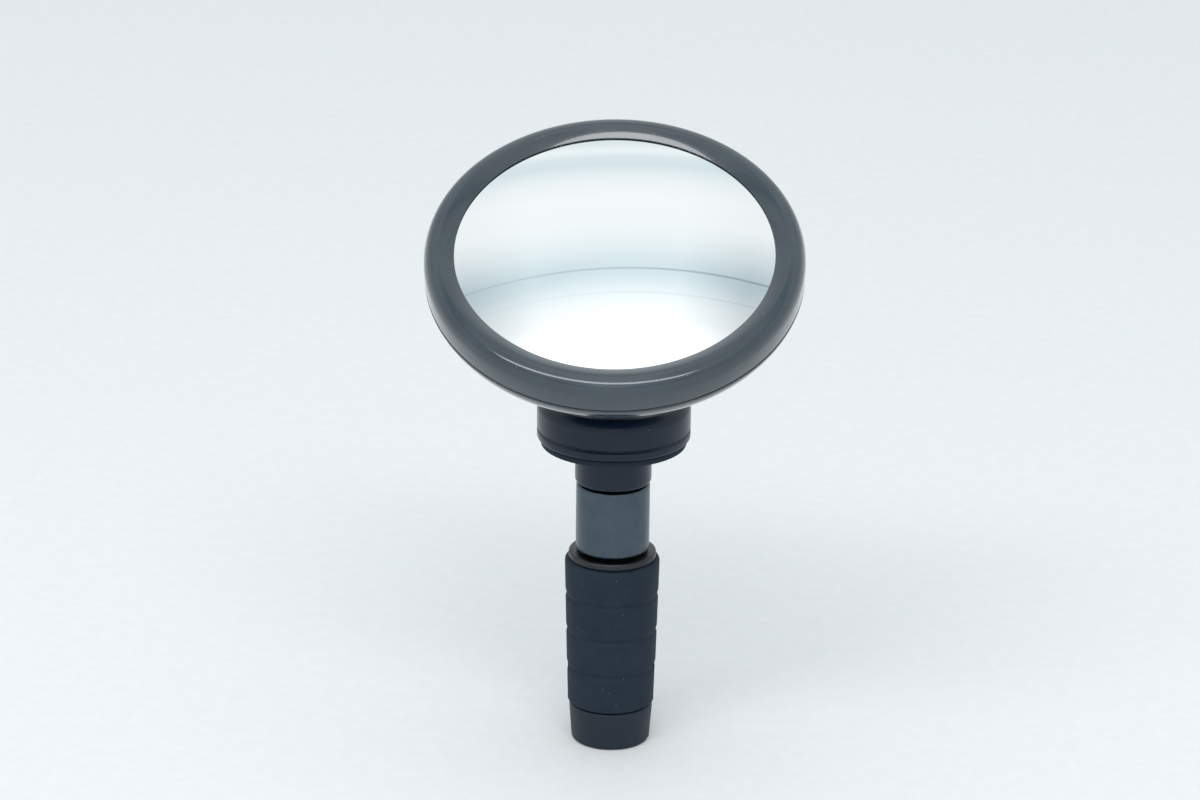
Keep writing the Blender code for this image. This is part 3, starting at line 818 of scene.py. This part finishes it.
def build_collar():
    """The ring nut, threaded inside and scalloped outside for the fingers."""
    size = extent("lock_collar", HEAD)
    edge = 0.8 * MM
    inset = 0.9 * MM
    lead = 0.3 * MM
    scallop_floor = size.inner + 0.5 * MM
    scallop_depth = 0.7 * MM
    outline = [(size.inner + lead, size.high, 0), (size.outer - inset, size.high, SOFT)]
    outline += arc((size.outer - edge, size.high - edge), edge, 60, 0, count=6)
    outline += wall(size.outer, size.high - edge, size.low + edge, 0.5 * MM)
    outline += arc((size.outer - edge, size.low + edge), edge, 0, -60, count=6)
    outline += [(size.outer - inset, size.low, SOFT), (size.inner + lead, size.low, 0)]
    outline += wall(size.inner, size.low + lead, size.high - lead, COLLAR_PITCH / PITCH_POINTS)
    collar = spin("collar_moulded", rounded(outline), HEAD, COLLAR_SEGMENTS)

    def scallop(angle, radius, height):
        share = max(0.0, (radius - scallop_floor) / (size.outer - scallop_floor))
        return radius - scallop_depth * share * (0.5 - 0.5 * math.cos(COLLAR_FLUTES * angle)) ** 1.5

    reshape(collar, scallop)
    thread(collar, size.inner, COLLAR_PITCH, -0.25 * MM, size.low, size.high)
    stand_for(collar, "lock_collar", MATTE_BLACK)


def bowl(rim, flat, offset, start, end, count):
    """The bowl's side, moved inwards by an offset, as sharp points between two shares of its quarter turn.
    Rim and flat are the (radius, height) where it meets the rim and the flat back."""
    across = rim[0] - flat[0] - offset
    deep = rim[1] - flat[1] - offset
    points = []
    for k in range(count):
        share = start + (end - start) * k / (count - 1)
        out = math.cos(share * TURN / 4)
        down = (1 - out**BOWL_POWER) ** (1 / BOWL_POWER)
        points.append((flat[0] + across * out, rim[1] - deep * down, 0))
    return points


def build_housing():
    """The shell: a bowl with a rim for the bezel, a ledge for the carrier and a boss for the socket."""
    size = extent("housing", HEAD)
    bezel = extent("bezel_ring", HEAD)
    socket = extent("ball_socket", HEAD)
    carrier = extent("carrier_plate", HEAD)
    parting = bezel.low - GAP
    rim_outer = 27.2 * MM
    rim_inner = carrier.outer + FIT
    ledge_top = 12.15 * MM
    ledge_low = ledge_top - 1.5 * MM
    ledge = rim_inner - 1.9 * MM
    boss = socket.outer + LOOSE
    boss_top = socket.high - 2.2 * MM
    wall_thick = 1.8 * MM
    step = 0.15 * MM
    rim = (size.outer, parting)
    flat = (12.0 * MM, size.low)
    foot = math.acos((boss - flat[0]) / (size.outer - flat[0] - wall_thick)) / (TURN / 4)
    outline = [(rim_inner, size.high), (rim_outer, size.high, SOFT), (rim_outer, parting, CREASE)]
    outline += [(size.outer - step, parting, CREASE)] + bowl(rim, flat, 0, 0.03, 0.97, count=56)
    outline += [(flat[0] + 0.2 * MM, size.low + 0.25 * MM, CREASE), (flat[0] - 0.3 * MM, size.low, EDGE)]
    outline += [(size.inner, size.low, BROAD), (size.inner, boss_top), (boss, boss_top)]
    outline += bowl(rim, flat, wall_thick, foot, 0.28, count=20)
    outline += [(ledge, ledge_low), (ledge, ledge_top), (rim_inner, ledge_top)]
    housing = spin("housing_moulded", rounded(outline, EDGE), HEAD, LARGE_SEGMENTS)
    for number in SCREW_NUMBERS:
        place = axis_of(f"socket_screw_{number}", HEAD)
        low = extent(f"socket_screw_{number}", place).low - LOOSE
        drill(housing, place, boss_top + 1 * MM, low)
    stand_for(housing, "housing", GLOSS_BLACK)


def build_bezel():
    """The front ring: a crowned face, a fine step to the glass, and the skirt that snaps over the rim."""
    size = extent("bezel_ring", HEAD)
    glass = extent("mirror_glass", HEAD)
    housing = extent("housing", HEAD)
    snap = 27.5 * MM
    bore = glass.outer + FIT
    shelf = housing.high + GAP
    lip = glass.high - 1.55 * MM
    step = lip + 0.12 * MM
    valley = (size.outer - 3.5 * MM, lip + 0.72 * MM, BROAD)
    crown = (size.outer - 2.4 * MM, size.high, 0.7 * MM)
    brow = (size.outer - 0.7 * MM, size.high - 0.5 * MM, 1.3 * MM)
    side = (size.outer, size.high - 2.0 * MM, 0.9 * MM)
    outline = [(size.inner, lip, 0.04 * MM), (size.inner, step, 0.05 * MM), valley, crown, brow, side]
    outline += [(size.outer, size.low, ROUND), (snap, size.low, FINE), (snap, shelf, CREASE)]
    outline += [(bore, shelf, CREASE), (bore, lip - 0.1 * MM, CREASE)]
    bezel = spin("bezel_moulded", rounded(outline), HEAD, LARGE_SEGMENTS)
    stand_for(bezel, "bezel_ring", GLOSS_BLACK)


def dish(curve, top, edge, count):
    """Sharp points on a dome whose middle is at this height, from the axis out to its edge."""
    points = []
    for k in range(count):
        radius = edge * k / (count - 1)
        points.append((radius, top - curve + math.sqrt(curve**2 - radius**2), 0))
    return points


def build_dished(name, node, material, fillet):
    """A domed plate of even thickness: the glass, the foam behind it or the plate behind that."""
    size = extent(node, HEAD)
    thick = middle_thickness(node, HEAD)
    sag = size.high - size.low - thick
    curve = (size.outer**2 + sag**2) / (2 * sag)
    face = dish(curve, size.high, size.outer, count=24)
    back = dish(curve, size.high - thick, size.outer, count=24)[::-1]
    face[-1] = (*face[-1][:2], fillet)
    back[0] = (*back[0][:2], fillet)
    plate = spin(name, rounded(face + back, closed=False), HEAD, LARGE_SEGMENTS)
    stand_for(plate, node, material)


# ---------------------------------------------------------------- the studio


def build_floor():
    """A wide pale floor at the plug's inner end, which fades into the backdrop far away. It is clear from
    below, so that the underside can be seen."""
    work = bmesh.new()
    bmesh.ops.create_circle(work, cap_ends=True, segments=96, radius=FLOOR_R)
    floor = new_object("floor", work, Matrix.Translation((0, 0, -0.05 * MM)))
    material, tree, shader, where = start_material("floor")
    speckle = spread(tree, noise(tree, where, size=2.5 * MM, detail=6.0))
    shade = mixed(tree, speckle, FLOOR_DARK, FLOOR_PALE)
    set_inputs(tree, shader, {"Base Color": shade, "Roughness": 0.7})
    below = add(tree, "NewGeometry").outputs["Backfacing"]
    clear = add(tree, "BsdfTransparent").outputs["BSDF"]
    away = add(tree, "VectorMath", {0: where}, operation="LENGTH").outputs["Value"]
    gone = math_node(tree, "MAXIMUM", below, ranged(tree, away, FLOOR_PLAIN_R, FLOOR_R))
    both = add(tree, "MixShader", {0: gone, 1: shader.outputs["BSDF"], 2: clear}).outputs["Shader"]
    set_inputs(tree, tree.nodes["Material Output"], {"Surface": both})
    floor.data.materials.append(material)


def ring_colour(tree, inwards):
    """The studio's tone at this cosine of the angle to its axis."""
    ramp = add(tree, "ValToRGB", {"Fac": inwards})
    stops = ramp.color_ramp.elements
    while len(stops) < len(STUDIO_RINGS):
        stops.new(1.0)
    for stop, (position, bright, cool) in zip(stops, STUDIO_RINGS):
        stop.position = position
        stop.color = (bright * (1 - cool), bright, bright * (1 + BLUE_SHARE * cool), 1)
    return ramp.outputs["Color"]


def add_dusk(tree, light, inwards, across):
    """Darkens the rings towards both sides, and most near the band."""
    aside = math_node(tree, "ABSOLUTE", math_node(tree, "ADD", across, DUSK_MIDDLE))
    deep = ranged(tree, inwards, *DUSK_RINGS, *DUSK_DEPTHS)
    dusk = math_node(tree, "MULTIPLY", ranged(tree, aside, *DUSK_ASIDE), deep)
    return mixed(tree, dusk, light, DUSK_COLOUR)


def add_seam(tree, light, inwards, across, seam):
    """Draws one thin dark ring, deeper towards the right."""
    ring, half, depth = seam
    off_ring = math_node(tree, "ABSOLUTE", math_node(tree, "SUBTRACT", inwards, ring))
    on_ring = ranged(tree, off_ring, half, 0.0)
    here = ranged(tree, across, *SEAM_FADE, SEAM_FAINTEST * depth, depth)
    deep = math_node(tree, "MULTIPLY", on_ring, here)
    return mixed(tree, deep, light, SEAM_COLOUR)


def add_glow(tree, light, toward):
    """Adds a small pale glow overhead."""
    near = ranged(tree, dotted(tree, toward, GLOW_AXIS), *GLOW_REACH)
    glow = mixed(tree, near, BLACK, GLOW_COLOUR)
    inputs = {"Fac": 1.0, "Color1": light, "Color2": glow}
    return add(tree, "MixRGB", inputs, blend_type="ADD").outputs["Color"]


def build_world():
    """A pale, faintly cool studio whose tones lie in rings round one direction, high in front of the mirror.
    The mirror shows the rings that face it: white, then a dusky band with a thin dark seam, then white.
    The camera itself sees a plain backdrop."""
    world = bpy.data.worlds.new("studio")
    bpy.context.scene.world = world
    world.use_nodes = True
    tree = world.node_tree
    toward = add(tree, "TexCoord").outputs["Generated"]
    across = add(tree, "SeparateXYZ", {"Vector": toward}).outputs["X"]
    inwards = dotted(tree, toward, STUDIO_AXIS)
    light = ring_colour(tree, inwards)
    light = add_dusk(tree, light, inwards, across)
    for seam in SEAMS:
        light = add_seam(tree, light, inwards, across, seam)
    light = add_glow(tree, light, toward)
    seen = add(tree, "LightPath").outputs["Is Camera Ray"]
    set_inputs(tree, tree.nodes["Background"], {"Color": mixed(tree, seen, light, BACKDROP)})


def build_key_light():
    """A long soft strip high in front, whose highlight runs round the near side of the ring."""
    light = bpy.data.lights.new("key", "AREA")
    light.shape = "RECTANGLE"
    light.size, light.size_y = KEY_SIZE
    light.energy = KEY_ENERGY
    key = bpy.data.objects.new("key", light)
    bpy.context.scene.collection.objects.link(key)
    key.location = KEY_PLACE
    key.rotation_euler = (BALL_CENTRE - key.location).to_track_quat("-Z", "Y").to_euler()


def build_camera():
    """A long lens in front of the mirror and a little above it, turned as in the photo."""
    data = bpy.data.cameras.new("camera")
    data.lens = CAMERA_LENS
    data.sensor_width = SENSOR_WIDTH
    camera = bpy.data.objects.new("camera", data)
    bpy.context.scene.collection.objects.link(camera)
    level = math.cos(CAMERA_ELEVATION)
    back = Vector((0, 0, math.sin(CAMERA_ELEVATION)))
    back.x = math.sin(CAMERA_AZIMUTH) * level
    back.y = -math.cos(CAMERA_AZIMUTH) * level
    place = BALL_CENTRE + Vector(CAMERA_AIM) + back * CAMERA_DISTANCE
    turn = (-back).to_track_quat("-Z", "Y").to_matrix().to_4x4()
    camera.matrix_world = Matrix.Translation(place) @ turn @ Matrix.Rotation(CAMERA_ROLL, 4, "Z")
    bpy.context.scene.camera = camera


GLOSS_BLACK = plastic(
    "gloss_black",
    colour=(0.022, 0.034, 0.045),
    worn=(0.05, 0.065, 0.08),
    roughness=0.18,
    grain=0.9 * MM,
    height=0.004 * MM,
    coat=0.8,
)
SATIN_BLACK = plastic(
    "satin_black",
    colour=(0.003, 0.010, 0.023),
    worn=(0.04, 0.05, 0.06),
    roughness=0.26,
    grain=0.5 * MM,
    height=0.005 * MM,
)
MATTE_BLACK = plastic(
    "matte_black",
    colour=(0.007, 0.014, 0.024),
    worn=(0.05, 0.055, 0.06),
    roughness=0.50,
    grain=0.12 * MM,
    height=0.02 * MM,
)
NYLON = plastic(
    "black_nylon",
    colour=(0.012, 0.013, 0.015),
    worn=(0.05, 0.05, 0.055),
    roughness=0.38,
    grain=0.25 * MM,
    height=0.01 * MM,
)
RUBBER = rubber()
MIRROR = silvered_glass()
FOAM = foam()
ZINC = turned_metal(
    "zinc_steel",
    colour=(0.60, 0.61, 0.63),
    tint=(0.66, 0.64, 0.58),
    roughness=0.22,
    line_pitch=0.10 * MM,
    line_height=0.004 * MM,
)
BLACK_STEEL = turned_metal(
    "black_steel",
    colour=(0.040, 0.045, 0.052),
    tint=(0.055, 0.055, 0.055),
    roughness=0.34,
    line_pitch=0.15 * MM,
    line_height=0.005 * MM,
)
DARK_ALUMINIUM = turned_metal(
    "dark_aluminium",
    colour=(0.068, 0.094, 0.12),
    tint=(0.082, 0.104, 0.126),
    roughness=0.30,
    line_pitch=0.12 * MM,
    line_height=0.006 * MM,
)
BRASS = turned_metal(
    "brass",
    colour=(0.72, 0.52, 0.24),
    tint=(0.62, 0.46, 0.26),
    roughness=0.28,
    line_pitch=0.10 * MM,
    line_height=0.004 * MM,
)

build_gasket()
build_cap()
build_spacer()
build_thrust_washer()
build_sleeve()
build_wedge()
build_nut()
build_cover()
build_stud()
build_spring_washer()
build_o_ring("neck_ring_moulded", "neck_ring", PLUG)
build_o_ring("friction_ring_moulded", "friction_ring", HEAD)
build_socket()
for number in SCREW_NUMBERS:
    build_screw(number)
build_collar()
build_housing()
build_dished("glass_silvered", "mirror_glass", MIRROR, SOFT)
build_dished("foam_cut", "foam_pad", FOAM, CREASE)
build_dished("carrier_moulded", "carrier_plate", MATTE_BLACK, SOFT)
build_bezel()

build_floor()
build_world()
build_key_light()
build_camera()
bpy.context.scene.view_settings.view_transform = "Standard"
